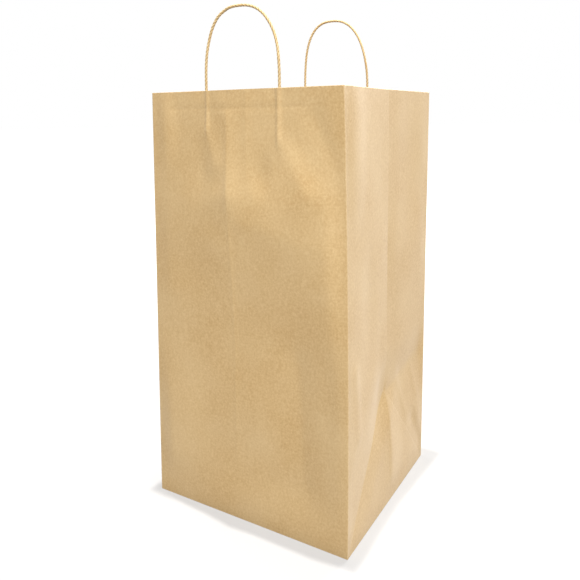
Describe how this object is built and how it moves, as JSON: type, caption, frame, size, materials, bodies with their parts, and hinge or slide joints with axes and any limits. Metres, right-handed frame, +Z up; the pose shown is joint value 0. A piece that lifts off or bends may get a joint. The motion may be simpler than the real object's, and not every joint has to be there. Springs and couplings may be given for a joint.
{
  "type": "paper carrier bag",
  "caption": "Open block-bottom kraft paper carrier bag with side gussets and twisted paper cord handles glued inside the mouth.",
  "frame": {"origin": "middle of the folded bottom, on the surface that the bag stands on", "axes": "+Z up, -Y out of the front panel, +X out of the right gusset"},
  "size_m": [0.28, 0.2632, 0.6275],
  "materials": {
    "kraft_paper": "uncoated brown kraft paper, matt",
    "paper_cord": "twisted kraft paper cord, matt",
    "patch_paper": "uncoated brown kraft paper, matt"
  },
  "bodies": {
    "root": {"bag_body": "kraft_paper", "front_handle": "paper_cord", "rear_handle": "paper_cord", "front_patch_backing": "patch_paper", "front_patch_cover": "patch_paper", "rear_patch_backing": "patch_paper", "rear_patch_cover": "patch_paper"}
  },
  "joints": []
}
